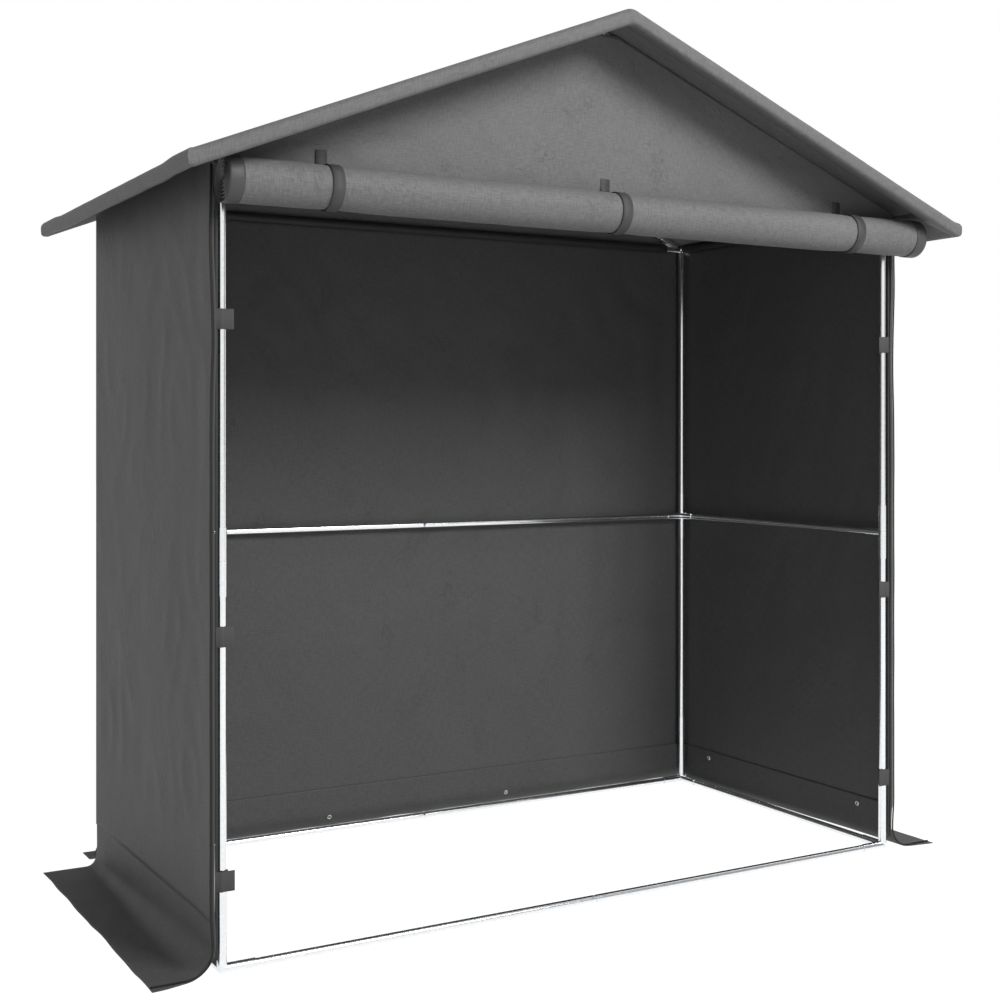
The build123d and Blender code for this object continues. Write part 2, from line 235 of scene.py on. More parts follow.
def quads(
    rows: int, columns: int, ring_rows: bool = False, ring_columns: bool = False, turned: bool = False
) -> list[tuple[int, ...]]:
    """List the faces of a grid of points that are numbered row by row.

    Args:
        rows: Number of rows of points.
        columns: Number of points in each row.
        ring_rows: True where the last row joins the first.
        ring_columns: True where the last column joins the first.
        turned: True where the faces look the other way.

    Returns:
        Four point numbers for each face.
    """
    faces = []
    for i in range(rows if ring_rows else rows - 1):
        for k in range(columns if ring_columns else columns - 1):
            j, m = (i + 1) % rows, (k + 1) % columns
            a, b, c, d = i * columns + k, i * columns + m, j * columns + m, j * columns + k
            faces.append((a, d, c, b) if turned else (a, b, c, d))
    return faces


def mesh_object(
    name: str, points: Sequence[Point], faces: Sequence[Sequence[int]], flat: Sequence[Pair] | None = None
) -> Thing:
    """Make an object from points and faces.

    Args:
        name: Name of the piece.
        points: Corner places in metres.
        faces: Corner numbers of each face.
        flat: Place of each corner on the cloth before it was hung, in metres.

    Returns:
        The new object, smooth shaded and in the scene.
    """
    mesh = bpy.data.meshes.new(name)
    mesh.from_pydata([tuple(p) for p in points], [], [tuple(f) for f in faces])
    if flat is not None:
        layer = mesh.uv_layers.new(name="cloth")
        for loop in mesh.loops:
            layer.data[loop.index].uv = flat[loop.vertex_index]
    for polygon in mesh.polygons:
        polygon.use_smooth = True
    mesh.update()
    thing = bpy.data.objects.new(name, mesh)
    bpy.context.scene.collection.objects.link(thing)
    return thing


def thicken(piece: Thing, thickness: float) -> bpy.types.SolidifyModifier:
    """Give a sheet its thickness, half of it to each side.

    Args:
        piece: The sheet.
        thickness: Its thickness in metres.

    Returns:
        The modifier that gives it.
    """
    solid = piece.modifiers.new("thickness", "SOLIDIFY")
    solid.thickness = thickness
    solid.offset = 0.0
    return solid


def cloth_grid(
    name: str,
    place: Callable[[float, float], Point],
    size: Pair,
    cells: tuple[int, int],
    thickness: float,
    closed: bool = False,
) -> Thing:
    """Make a sheet of cloth from a function of two shares from 0 to 1.

    Args:
        name: Name of the piece.
        place: Gives the point in metres for a share across and a share along.
        size: Width and length of the flat cloth, in metres.
        cells: Number of faces across and along.
        thickness: Thickness of the cloth in metres.
        closed: True where the last column joins the first.

    Returns:
        The sheet with a Solidify modifier that gives it its thickness.
    """
    across, along = cells
    columns = across if closed else across + 1
    spots = [(i / across, j / along) for j in range(along + 1) for i in range(columns)]
    points = [place(u, v) for u, v in spots]
    flat = [(size[0] * u, size[1] * v) for u, v in spots]
    sheet = mesh_object(name, points, quads(along + 1, columns, ring_columns=closed), flat)
    thicken(sheet, thickness).use_quality_normals = True
    return sheet


def sweep(
    name: str,
    path: Sequence[Vector],
    section: Callable[[Vector, Vector], Sequence[tuple[Vector, float]]],
    turned_ends: bool = False,
) -> Thing:
    """Run a closed section along a path and close both ends.

    Args:
        name: Name of the piece.
        path: Points along the middle of the piece.
        section: Gives, for a point and the path's direction there, each corner's offset and its place across
            the flat cloth.
        turned_ends: True where the end faces look the other way.

    Returns:
        The piece.
    """
    points: list[Point] = []
    flat: list[Pair] = []
    run = 0.0
    for i, spot in enumerate(path):
        along = (path[min(len(path) - 1, i + 1)] - path[max(0, i - 1)]).normalized()
        if i:
            run += (spot - path[i - 1]).length
        for offset, across in section(spot, along):
            points.append(tuple(spot + offset))
            flat.append((across, run))
    count = len(points) // len(path)
    first, last = tuple(range(count)), tuple(range(len(points) - count, len(points)))
    ends = [first, last[::-1]] if turned_ends else [first[::-1], last]
    return mesh_object(name, points, quads(len(path), count, ring_columns=True) + ends, flat)


def ribbon(
    name: str, path: Sequence[Vector], widthways: Callable[[Vector], Vector], width: float, thickness: float
) -> Thing:
    """Make a flat band with slightly rounded edges along a path.

    Args:
        name: Name of the piece.
        path: Points along the middle of the band.
        widthways: Gives the direction of the band's width at a point.
        width: Width of the band in metres.
        thickness: Thickness of the band in metres.

    Returns:
        The band.
    """
    half, thin, edge = width / 2, thickness / 2, min(thickness * 0.4, width * 0.2)
    lower = [(-half, edge - thin), (edge - half, -thin), (half - edge, -thin), (half, edge - thin)]
    outline = lower + [(-a, -b) for a, b in lower]

    def section(spot: Vector, along: Vector) -> list[tuple[Vector, float]]:
        """Place the outline square to the path.

        Args:
            spot: Point on the path.
            along: Direction of the path there.

        Returns:
            Each corner's offset and its place across the flat band.
        """
        wide = widthways(spot).normalized()
        wide = (wide - along * wide.dot(along)).normalized()
        out = along.cross(wide).normalized()
        return [(wide * a + out * b, a + half) for a, b in outline]

    return sweep(name, path, section)


# Finishes


def linear(colour: str) -> tuple[float, float, float, float]:
    """Turn an sRGB colour into Blender's linear values.

    Args:
        colour: Six hex digits after a hash.

    Returns:
        Red, green, blue and an alpha of 1.
    """
    parts = []
    for i in (1, 3, 5):
        value = int(colour[i : i + 2], 16) / 255
        parts.append(value / 12.92 if value <= 0.04045 else ((value + 0.055) / 1.055) ** 2.4)
    return (parts[0], parts[1], parts[2], 1.0)


def add_node(tree: Tree, kind: str, inputs: dict | None = None, **settings: str) -> bpy.types.Node:
    """Add one node with its settings, values and links.

    Args:
        tree: The node tree.
        kind: Blender's name of the node type after "ShaderNode".
        inputs: Values for its inputs, or sockets to link to them, by name or number.
        settings: Attributes of the node.

    Returns:
        The new node.
    """
    node = tree.nodes.new("ShaderNode" + kind)
    for key, value in settings.items():
        setattr(node, key, value)
    for key, value in (inputs or {}).items():
        if isinstance(value, Socket):
            tree.links.new(value, node.inputs[key])
        else:
            node.inputs[key].default_value = value
    return node


def reckon(tree: Tree, operation: str, *values: Socket | float) -> Socket:
    """Join values with one mathematical operation and give its output."""
    return add_node(tree, "Math", dict(enumerate(values)), operation=operation).outputs[0]


def ramp(
    tree: Tree,
    source: Socket,
    low: float,
    high: float,
    first: float = 0.0,
    last: float = 1.0,
    kind: str = "SMOOTHSTEP",
) -> Socket:
    """Turn a source's range into another one.

    Args:
        tree: The node tree.
        source: The value to read.
        low: Where the source's range starts.
        high: Where it ends, which may be below low.
        first: Result at low.
        last: Result at high.
        kind: SMOOTHSTEP to ease between them, LINEAR to go straight.

    Returns:
        The result's output.
    """
    inputs = {"Value": source, "From Min": low, "From Max": high, "To Min": first, "To Max": last}
    return add_node(tree, "MapRange", inputs, interpolation_type=kind).outputs[0]


def blend(tree: Tree, share: Socket, first: str, second: str) -> Socket:
    """Mix two sRGB colours, with the second where the share is 1."""
    inputs = {"Factor": share, 6: linear(first), 7: linear(second)}
    return add_node(tree, "Mix", inputs, data_type="RGBA").outputs[2]


def blank_material(name: str) -> tuple[bpy.types.Material, Tree]:
    """Make a material with an empty node tree.

    Args:
        name: Name of the material.

    Returns:
        The material and its tree.
    """
    material = bpy.data.materials.new(name)
    material.use_nodes = True
    material.node_tree.nodes.clear()
    return material, material.node_tree


def close_surface(tree: Tree, kind: str, inputs: dict) -> None:
    """End a node tree in one shader and the material's output."""
    add_node(tree, "OutputMaterial", {0: add_node(tree, kind, inputs).outputs[0]})


@dataclass(frozen=True)
class WovenCover:
    """Coated polyethylene cloth, woven from flat tapes and laminated: matt, with faint threads both ways,
    patches that are crumpled from packing and a few short sharp creases, whose lines are darkened in colour
    as painted shade."""

    name: str
    tape: str
    gap: str
    thread_mm: float = 2.8
    thread_height_mm: float = 0.07
    crumple_mm: float = 26.0
    crumple_height_mm: float = 2.0
    crease_height_mm: float = 0.5
    thread_contrast: Pair = (0.72, 1.28)
    patch_waves: Pair = (3.1, 2.6)
    crumpled_patch: Pair = (0.40, 0.66)
    crease_waves: Pair = (24.0, 15.0)
    crease_width: float = 0.013
    creased_waves: Pair = (9.0, 8.0)
    creased_patch: Pair = (0.60, 0.70)
    roughness: float = 0.62

    def build(self) -> bpy.types.Material:
        """Make the material. The real tapes are about 1.5 mm wide and are drawn 2.8 mm apart, so that they
        show in a render.

        Returns:
            The material.
        """
        material, tree = blank_material(self.name)
        flat = add_node(tree, "UVMap", uv_map="cloth").outputs[0]

        def waves(per_u: float, per_v: float, detail: float, distortion: float = 0.0) -> Socket:
            """Read noise on the cloth.

            Args:
                per_u: Waves to the metre across.
                per_v: Waves to the metre along.
                detail: Number of finer layers.
                distortion: How far the noise bends itself.

            Returns:
                A value near 0.5.
            """
            place = add_node(tree, "VectorMath", {0: flat, 1: (per_u, per_v, 1.0)}, operation="MULTIPLY")
            inputs = {"Vector": place.outputs[0], "Scale": 1.0, "Detail": detail, "Distortion": distortion}
            return add_node(tree, "TexNoise", inputs, noise_dimensions="2D").outputs[0]

        def times(source: Socket, factor: Socket | float) -> Socket:
            """Multiply two values."""
            return reckon(tree, "MULTIPLY", source, factor)

        pitch = 1.0 / (self.thread_mm * MM)
        both = reckon(tree, "ADD", waves(pitch, pitch * 0.12, 0.0), waves(pitch * 0.12, pitch, 0.0))
        threads = ramp(tree, both, *self.thread_contrast)
        broad = waves(*self.patch_waves, 2.0)
        fold = 1.0 / (self.crumple_mm * MM)
        crumple = times(waves(fold, fold * 0.8, 4.0, 1.1), ramp(tree, broad, *self.crumpled_patch))
        ridge = reckon(tree, "SUBTRACT", waves(*self.crease_waves, 2.0, 1.6), 0.5)
        line = ramp(tree, reckon(tree, "ABSOLUTE", ridge), self.crease_width, 0.0)
        sharp = times(line, ramp(tree, waves(*self.creased_waves, 1.0), *self.creased_patch))
        raised = times(crumple, self.crumple_height_mm * MM)
        raised = reckon(tree, "ADD", raised, times(threads, self.thread_height_mm * MM))
        height = reckon(tree, "SUBTRACT", raised, times(sharp, self.crease_height_mm * MM))
        shade = reckon(tree, "ADD", times(threads, 0.5), times(broad, 0.5))
        # The crease lines are darkened in the colour too: painted shade in the creases.
        shade = reckon(tree, "SUBTRACT", shade, times(sharp, 0.7))
        relief = add_node(tree, "Bump", {"Strength": 1.0, "Distance": 1.0, "Height": height})
        colour = blend(tree, shade, self.gap, self.tape)
        inputs = {"Base Color": colour, "Normal": relief.outputs[0], "Roughness": self.roughness}
        close_surface(tree, "BsdfPrincipled", inputs | {"IOR": 1.5, "Specular IOR Level": 0.32})
        return material


@dataclass(frozen=True)
class RibbedTape:
    """Polypropylene webbing and hook tape: a satin tape with ribs across it."""

    name: str
    rib: str
    groove: str
    rib_mm: float = 2.4
    roughness: float = 0.5
    depth: float = 0.5

    def build(self) -> bpy.types.Material:
        """Make the material, with the ribs drawn 1.6 to 3 mm apart, about twice their real pitch, so that
        they show.

        Returns:
            The material.
        """
        material, tree = blank_material(self.name)
        flat = add_node(tree, "UVMap", uv_map="cloth").outputs[0]
        along = add_node(tree, "SeparateXYZ", {0: flat}).outputs[1]
        turns = reckon(tree, "MULTIPLY", along, FULL_TURN / (self.rib_mm * MM))
        rib = ramp(tree, reckon(tree, "SINE", turns), -1.0, 1.0, kind="LINEAR")
        fuzz = add_node(tree, "TexNoise", {"Vector": flat, "Scale": 900.0, "Detail": 2.0}).outputs[0]
        colour = blend(tree, reckon(tree, "MULTIPLY", rib, fuzz), self.groove, self.rib)
        relief = add_node(tree, "Bump", {"Strength": self.depth, "Distance": 0.6 * MM, "Height": rib})
        inputs = {"Base Color": colour, "Normal": relief.outputs[0], "Roughness": self.roughness}
        close_surface(tree, "BsdfPrincipled", inputs | {"IOR": 1.5, "Specular IOR Level": 0.4})
        return material


@dataclass(frozen=True)
class GalvanisedSteel:
    """Bright zinc-coated steel tube, drawn and polished: it mirrors the pale room in long stripes, with a
    faint cloudy spangle in its gloss."""

    name: str
    light: str = "#f4f5f6"
    cloud: str = "#dcdfe2"
    spangle_mm: float = 9.0
    roughness: float = 0.16

    def build(self) -> bpy.types.Material:
        """Make the material from the object's own coordinates, because the tubes carry no cloth map.

        Returns:
            The material.
        """
        material, tree = blank_material(self.name)
        place = add_node(tree, "TexCoord").outputs["Object"]
        grain = {"Vector": place, "Scale": 1.0 / (self.spangle_mm * MM), "Detail": 3.0, "Roughness": 0.6}
        spangle = add_node(tree, "TexNoise", grain).outputs[0]
        colour = blend(tree, spangle, self.cloud, self.light)
        gloss = ramp(tree, spangle, 0.0, 1.0, self.roughness * 0.7, self.roughness * 1.5, "LINEAR")
        close_surface(tree, "BsdfPrincipled", {"Base Color": colour, "Roughness": gloss, "Metallic": 1.0})
        return material


class Finish(Enum):
    """The finishes of the shelter."""

    OUTER = WovenCover("woven_cover", tape="#808080", gap="#6c6c6c")
    WALL = WovenCover(
        "woven_wall", tape="#606060", gap="#535353", thread_height_mm=0.04, crumple_height_mm=1.9
    )
    # Pocket cloth: the cover's cloth drawn much darker, as painted shade, so the rail pockets sink into the
    # shaded inside.
    SHADED_POCKET = WovenCover("pocket_painted_shade", tape="#363636", gap="#2e2e2e", crumple_height_mm=0.8)
    ROLL = WovenCover("woven_door", tape="#868686", gap="#6e6e6e", crumple_height_mm=1.5, crumple_mm=16.0)
    # Near-black cut edges: painted shade of the roll's spiral end between its layers.
    SHADED_EDGE = WovenCover("cut_edge_painted_shade", tape="#242424", gap="#161616", crumple_height_mm=0.4)
    FLAP = WovenCover(
        "woven_flap", tape="#5e5e5e", gap="#505050", thread_height_mm=0.04, crumple_height_mm=2.2
    )
    HEM = RibbedTape("hem_tape", rib="#5a5a5a", groove="#484848", rib_mm=3.0, roughness=0.55, depth=0.2)
    # Dark facing: painted shade of the gap between the wall's front hem and the post.
    SHADED_FACING = RibbedTape("facing_painted_shade", rib="#383838", groove="#2c2c2c", rib_mm=3.0, roughness=0.6, depth=0.1)
    BAND = RibbedTape("end_band", rib="#5a5a5a", groove="#4e4e4e", rib_mm=1.6, roughness=0.5, depth=0.1)
    WEBBING = RibbedTape("webbing", rib="#5c5c5c", groove="#424242")
    HOOK = RibbedTape("hook_tape", rib="#5c5c5c", groove="#4e4e4e", rib_mm=1.8, roughness=0.7)
    ZIP = RibbedTape("zip_tape", rib="#1c1c1c", groove="#0c0c0c", rib_mm=2.0, roughness=0.6)
    STEEL = GalvanisedSteel("galvanised_steel")
    EYELET = GalvanisedSteel(
        "nickel_eyelet", light="#c9c9c6", cloud="#b4b4b0", spangle_mm=4.0, roughness=0.25
    )


MATERIALS: dict[Finish, bpy.types.Material] = {}


def finish_of(which: Finish) -> bpy.types.Material:
    """Give the material of a finish, made on first use.

    Args:
        which: The finish.

    Returns:
        Its material.
    """
    if which not in MATERIALS:
        MATERIALS[which] = which.value.build()
    return MATERIALS[which]


def settle(piece: Thing, finish: Finish, nodes: Sequence[str] = ()) -> Thing:
    """Give a piece its finish, its body and the nodes that it stands for.

    Args:
        piece: The piece.
        finish: Its finish.
        nodes: CAD nodes that it replaces.

    Returns:
        The piece.
    """
    piece.data.materials.append(finish_of(finish))
    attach(piece, "root")
    if nodes:
        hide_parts(*nodes)
    log.info("%s: %d points, finish %s", piece.name, len(piece.data.vertices), finish.name.lower())
    return piece


# Sub-assemblies


@dataclass
class TubeFrame:
    """The steel tubes and sleeve connectors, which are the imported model's own nodes."""

    endings: tuple[str, ...] = (
        "_post", "_rail", "rafters", "_struts", "_pole", "_tubes", "_tees", "_connectors"
    )

    def dress(self, nodes: dict[str, Thing]) -> None:
        """Give every tube and connector the steel finish.

        Args:
            nodes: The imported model's objects by name.
        """
        for name, thing in nodes.items():
            if not name.endswith(self.endings):
                continue
            if not thing.material_slots:
                thing.data.materials.append(finish_of(Finish.STEEL))
            for place in thing.material_slots:
                place.material = finish_of(Finish.STEEL)
            log.info("%s: steel", name)


@dataclass
class RoofCover:
    """The sheet over both slopes and the pocket round its edge that holds the rim tubes."""

    thickness: float = 0.0016
    pocket_thickness: float = 0.0010
    top: float = 0.0131
    sag: float = 0.011
    overlap: float = 0.002
    border: float = 0.03
    ridge_round: float = 0.014
    pocket_top: float = 0.0155
    pocket_drop: float = 0.0240
    pocket_turn: float = 0.0095
    pocket_tail: float = 0.080
    tail_rise: float = 0.0355
    dip: float = 0.0036
    cells: tuple[int, int] = (150, 76)

    def sink(self, x: float, y: float) -> float:
        """Give how far the sheet lies below its supports.

        Args:
            x: Place across.
            y: Place from front to back.

        Returns:
            A distance in metres, square to the slope.
        """
        ax, ay = abs(x), abs(y)
        between_posts = SITE.post_y - 0.014
        if ay < between_posts:
            along = math.cos(ay / between_posts * math.pi / 2)
        else:
            along = 0.28 * math.sin(math.pi * smooth(between_posts, SITE.rim_y, ay))
        if ax < SITE.post_x:
            across = math.sin(math.pi * min(1.0, ax / SITE.post_x)) ** 0.7
        else:
            across = 0.22 * math.sin(math.pi * (ax - SITE.post_x) / (SITE.eave_x - SITE.post_x))
        folds = hang(x, y * 1.4, 21.0) * 0.45 + 0.25 * soft(x - y, x + y, 5.0, 0.14, 0.5)
        return self.sag * along * across * (1.0 + folds)

    def round_ridge(self, x: float) -> float:
        """Give how far the rounded ridge lies below the sharp one, at a place across."""
        return SITE.slope * max(0.0, self.ridge_round - abs(x)) ** 2 / (2 * self.ridge_round)

    def sheet_point(self, u: float, v: float) -> Point:
        """Give a point of the sheet.

        Args:
            u: Share from the left eave to the right one.
            v: Share from the front rim to the back one.

        Returns:
            The point in metres.
        """
        x = (2 * u - 1) * (SITE.eave_x + self.overlap)
        y = (2 * v - 1) * (SITE.rim_y + self.overlap)
        near_eave = smooth(SITE.eave_x - self.border, SITE.eave_x, abs(x))
        edge = max(near_eave, smooth(SITE.rim_y - self.border, SITE.rim_y, abs(y)))
        z = SITE.roof(x, self.top - 0.0012 * edge - self.sink(x, y)) - self.round_ridge(x)
        return (x, y, z + 0.0007 * crease(x, y, 9.0, 0.10, 0.13) * (1 - edge))

    def pocket_outline(self) -> list[Pair]:
        """Give the pocket's section: over the tube, down outside it, round the bottom and back inward to a
        seam on the sheet's underside.

        Returns:
            Places outward and up from the tube's axis.
        """
        r, drop, turn = self.pocket_top, self.pocket_drop, self.pocket_turn
        shape = arc((0.0, 0.0), r, 160.0, 0.0, 12)
        shape += [(r + 0.0001, -0.006), (r - 0.0003, -0.012)]
        shape += arc((r - turn - 0.0004, turn - drop), turn, -8.0, -105.0, 7)
        for i in range(1, 11):
            share = i / 10
            rise = self.tail_rise * (0.55 * share + 0.45 * share * share)
            shape.append((0.0028 - self.pocket_tail * share, -drop + 0.0004 + rise))
        return shape

    def rim_shares(self, length: float, over_ridge: bool) -> list[float]:
        """Give the places of the sections on a run of the rim, closer at its corners and at the ridge.

        Args:
            length: Length of the run in metres.
            over_ridge: True where it passes over the ridge.

        Returns:
            Shares of the run's length.
        """
        shares = [0.0, 0.002 / length, 0.006 / length] + [i / 150 for i in range(1, 75)]
        if over_ridge:
            shares += [0.5 - 0.008 / length, 0.5 - 0.003 / length]
        return shares + [0.5] + [1.0 - share for share in reversed(shares) if share > 0]

    def build_pocket(self) -> Thing:
        """Build the pocket round the whole rim, mitred at its corners. An eave's pocket dips between its
        ends.

        Returns:
            The pocket.
        """
        outline = self.pocket_outline()
        around = [path_length(outline[: k + 1]) for k in range(len(outline))]
        corners_of_rim = [Vector((a, b, 0)) for a, b in ((-1, 1), (-1, -1), (1, -1), (1, 1))]
        points: list[Point] = []
        flat: list[Pair] = []
        run = 0.0
        for number, corner in enumerate(corners_of_rim):
            after = corners_of_rim[(number + 1) % 4]
            start, end = [Vector((spot.x * SITE.eave_x, spot.y * SITE.rim_y, 0)) for spot in (corner, after)]
            out = (corner + after) / 2
            length = (end - start).length
            for share in self.rim_shares(length, number % 2 == 1):
                near = min(share, 1 - share) * length
                lift = -self.dip * smooth(0.10, 0.19, near) if number % 2 == 0 else 0.0
                loose = smooth(0.0, 0.06, near)
                along = run + share * length
                for (a, b), place in zip(outline, around):
                    puff = 0.0009 * soft(along, b * 30, 33.0, 0.07, 1.0) * loose
                    spot = (start + corner * a).lerp(end + after * a, share)
                    axis_x = spot.x if a < 0 else max(-SITE.eave_x, min(SITE.eave_x, spot.x))
                    droop = 0.0012 * soft(along, 0.0, 31.0, 0.11, 1.0) * smooth(0.0, -0.02, b) * loose
                    held = 1.0 - smooth(-0.02, -0.077, a)
                    z = SITE.roof(axis_x) - self.round_ridge(axis_x) + b + (lift + droop) * held
                    points.append(tuple(spot + out * (puff if a > 0 else 0.0) + UPWARD * z))
                    flat.append((place, along))
            run += length
        count = len(outline)
        pocket = mesh_object("rim_pocket", points, quads(len(points) // count, count, ring_rows=True), flat)
        thicken(pocket, self.pocket_thickness)
        return settle(pocket, Finish.OUTER, ["roof_cover"])

    def build(self) -> None:
        """Build the sheet and the pocket."""
        size = (2 * (SITE.eave_x + self.overlap) / math.cos(SITE.pitch), 2 * (SITE.rim_y + self.overlap))
        sheet = cloth_grid("roof_sheet", self.sheet_point, size, self.cells, self.thickness)
        settle(sheet, Finish.OUTER, ["roof_cover"])
        self.build_pocket()


@dataclass
class Gable:
    """A triangular panel under the roof, at the front or the back."""

    end: int
    low: float
    thickness: float = 0.0014
    half_width: float = 0.985
    face: float = 0.4755
    under_roof: float = 0.0106
    tip_below_ridge: float = 0.0125
    least_height: float = 0.0005
    cells: tuple[int, int] = (168, 40)

    @property
    def reach(self) -> float:
        """Half the panel's width at its lower edge."""
        return min(self.half_width, (SITE.roof(0, self.under_roof) - self.low) / SITE.slope)

    def point(self, u: float, v: float) -> Point:
        """Give a point of the panel.

        Args:
            u: Share across.
            v: Share up.

        Returns:
            The point in metres.
        """
        x = (2 * u - 1) * self.reach
        top = min(SITE.roof(x, self.under_roof), SITE.ridge_z - self.tip_below_ridge)
        top = max(self.low + self.least_height, top)
        z = self.low + v * (top - self.low)
        edge = smooth(0.0, 0.09, top - z) * smooth(0.0, 0.05, z - self.low)
        depth = 0.0035 * abs(hang(x * 1.3, z, 40.0 + self.end))
        depth += 0.0016 * crease(x + 0.3 * z, z, 44.0, 0.12, 0.17)
        pull = 0.0010 * crease(x + z * 0.8, z - x * 0.3, 47.0 + self.end, 0.07, 0.4)
        return (x, self.end * (self.face + edge * max(-0.0002, depth + pull)), z)

    def build(self) -> None:
        """Build the panel."""
        name = "front_gable" if self.end < 0 else "back_gable"
        height = SITE.ridge_z - self.tip_below_ridge - self.low
        side = max(self.least_height, SITE.roof(self.reach, self.under_roof) - self.low)
        size = (2 * self.reach, height)
        sheet = cloth_grid(f"{name}_panel", self.point, size, self.cells, self.thickness)
        settle(sheet, Finish.OUTER, [name])
        self.reach * (height + side)


@dataclass
class RailPocket:
    """A sleeve of cloth sewn round a top rail: its side, its CAD node, its middle and half its length."""

    label: str
    node: str
    middle: Pair
    half: Pair
    radius: float = 0.0124
    flat_height: float = 0.0108
    thickness: float = 0.0008
    cells_round: int = 20
    cell_length: float = 0.018

    def build(self) -> None:
        """Build the sleeve, gathered a little along its length. A side rail's sleeve is flat on top, where
        it lies close under the roof."""
        half = Vector((*self.half, 0))
        start, run = Vector((*self.middle, SITE.top_z)) - half, 2 * half
        side = run.normalized().cross(UPWARD)
        flat_top = self.half[0] == 0.0

        def place(u: float, v: float) -> Point:
            """Give a point of the sleeve.

            Args:
                u: Share round the rail.
                v: Share along it.

            Returns:
                The point in metres.
            """
            angle = FULL_TURN * u
            loose = 0.0009 * soft(v * run.length, u * 3, 51.0, 0.05, 1.0) * (0.6 - 0.6 * math.sin(angle))
            radius = self.radius + loose
            rise = radius * math.sin(angle)
            rise = min(rise, self.flat_height) if flat_top else rise
            return tuple(start + run * v + side * (radius * math.cos(angle)) + UPWARD * rise)

        size = (FULL_TURN * self.radius, run.length)
        cells = (self.cells_round, max(8, round(run.length / self.cell_length)))
        sleeve = cloth_grid(f"{self.label}_rail_pocket", place, size, cells, self.thickness, closed=True)
        # The sleeve takes the darker pocket finish, which is painted shade.
        settle(sleeve, Finish.SHADED_POCKET, [self.node])


@dataclass(frozen=True)
class GroundFlap:
    """What the ground flaps share: the lap behind the wall, the turn to the floor and the free edge."""

    lap_top: float = 0.124
    floor_gap: float = 0.0012
    behind: float = 0.0016
    thickness: float = 0.0014
    bend: float = 0.0022
    lift: float = 0.006

    def section(self, face: float, radius: float, reach: float) -> list[Pair]:
        """Give a flap's section, outward and up, from its sewn edge to its free edge.

        Args:
            face: Distance out of the wall's face.
            radius: Radius of the turn to the floor.
            reach: Distance out of the free edge.

        Returns:
            Places in metres.
        """
        inner = face - self.behind
        start = inner + radius
        path = [(inner, z) for z in (self.lap_top, 0.105, 0.085, 0.065)]
        path += arc((start, radius + self.floor_gap), radius, 180.0, 270.0, 14)
        return path + [(start + (reach - start) * i / 7, self.floor_gap) for i in range(1, 8)]

    def ripple(self, run: float, v: float, seed: float, wave: Pair) -> Pair:
        """Give how far a flap stands out of its section, outward and up.

        Args:
            run: Place along the wall.
            v: Share from the sewn edge to the free edge.
            seed: Which flap.
            wave: Lengths of the waves of the lift and of the bend, in metres.

        Returns:
            Two distances in metres.
        """
        lift = max(0.0, soft(run, v, seed, wave[0], 0.6)) * self.lift * smooth(0.5, 0.8, v)
        bend = self.bend * soft(run, v, seed + 2.0, wave[1], 0.4) * smooth(0.16, 0.38, v)
        return (bend * (1 - smooth(0.45, 1.0, v)), lift)


FLAP = GroundFlap()


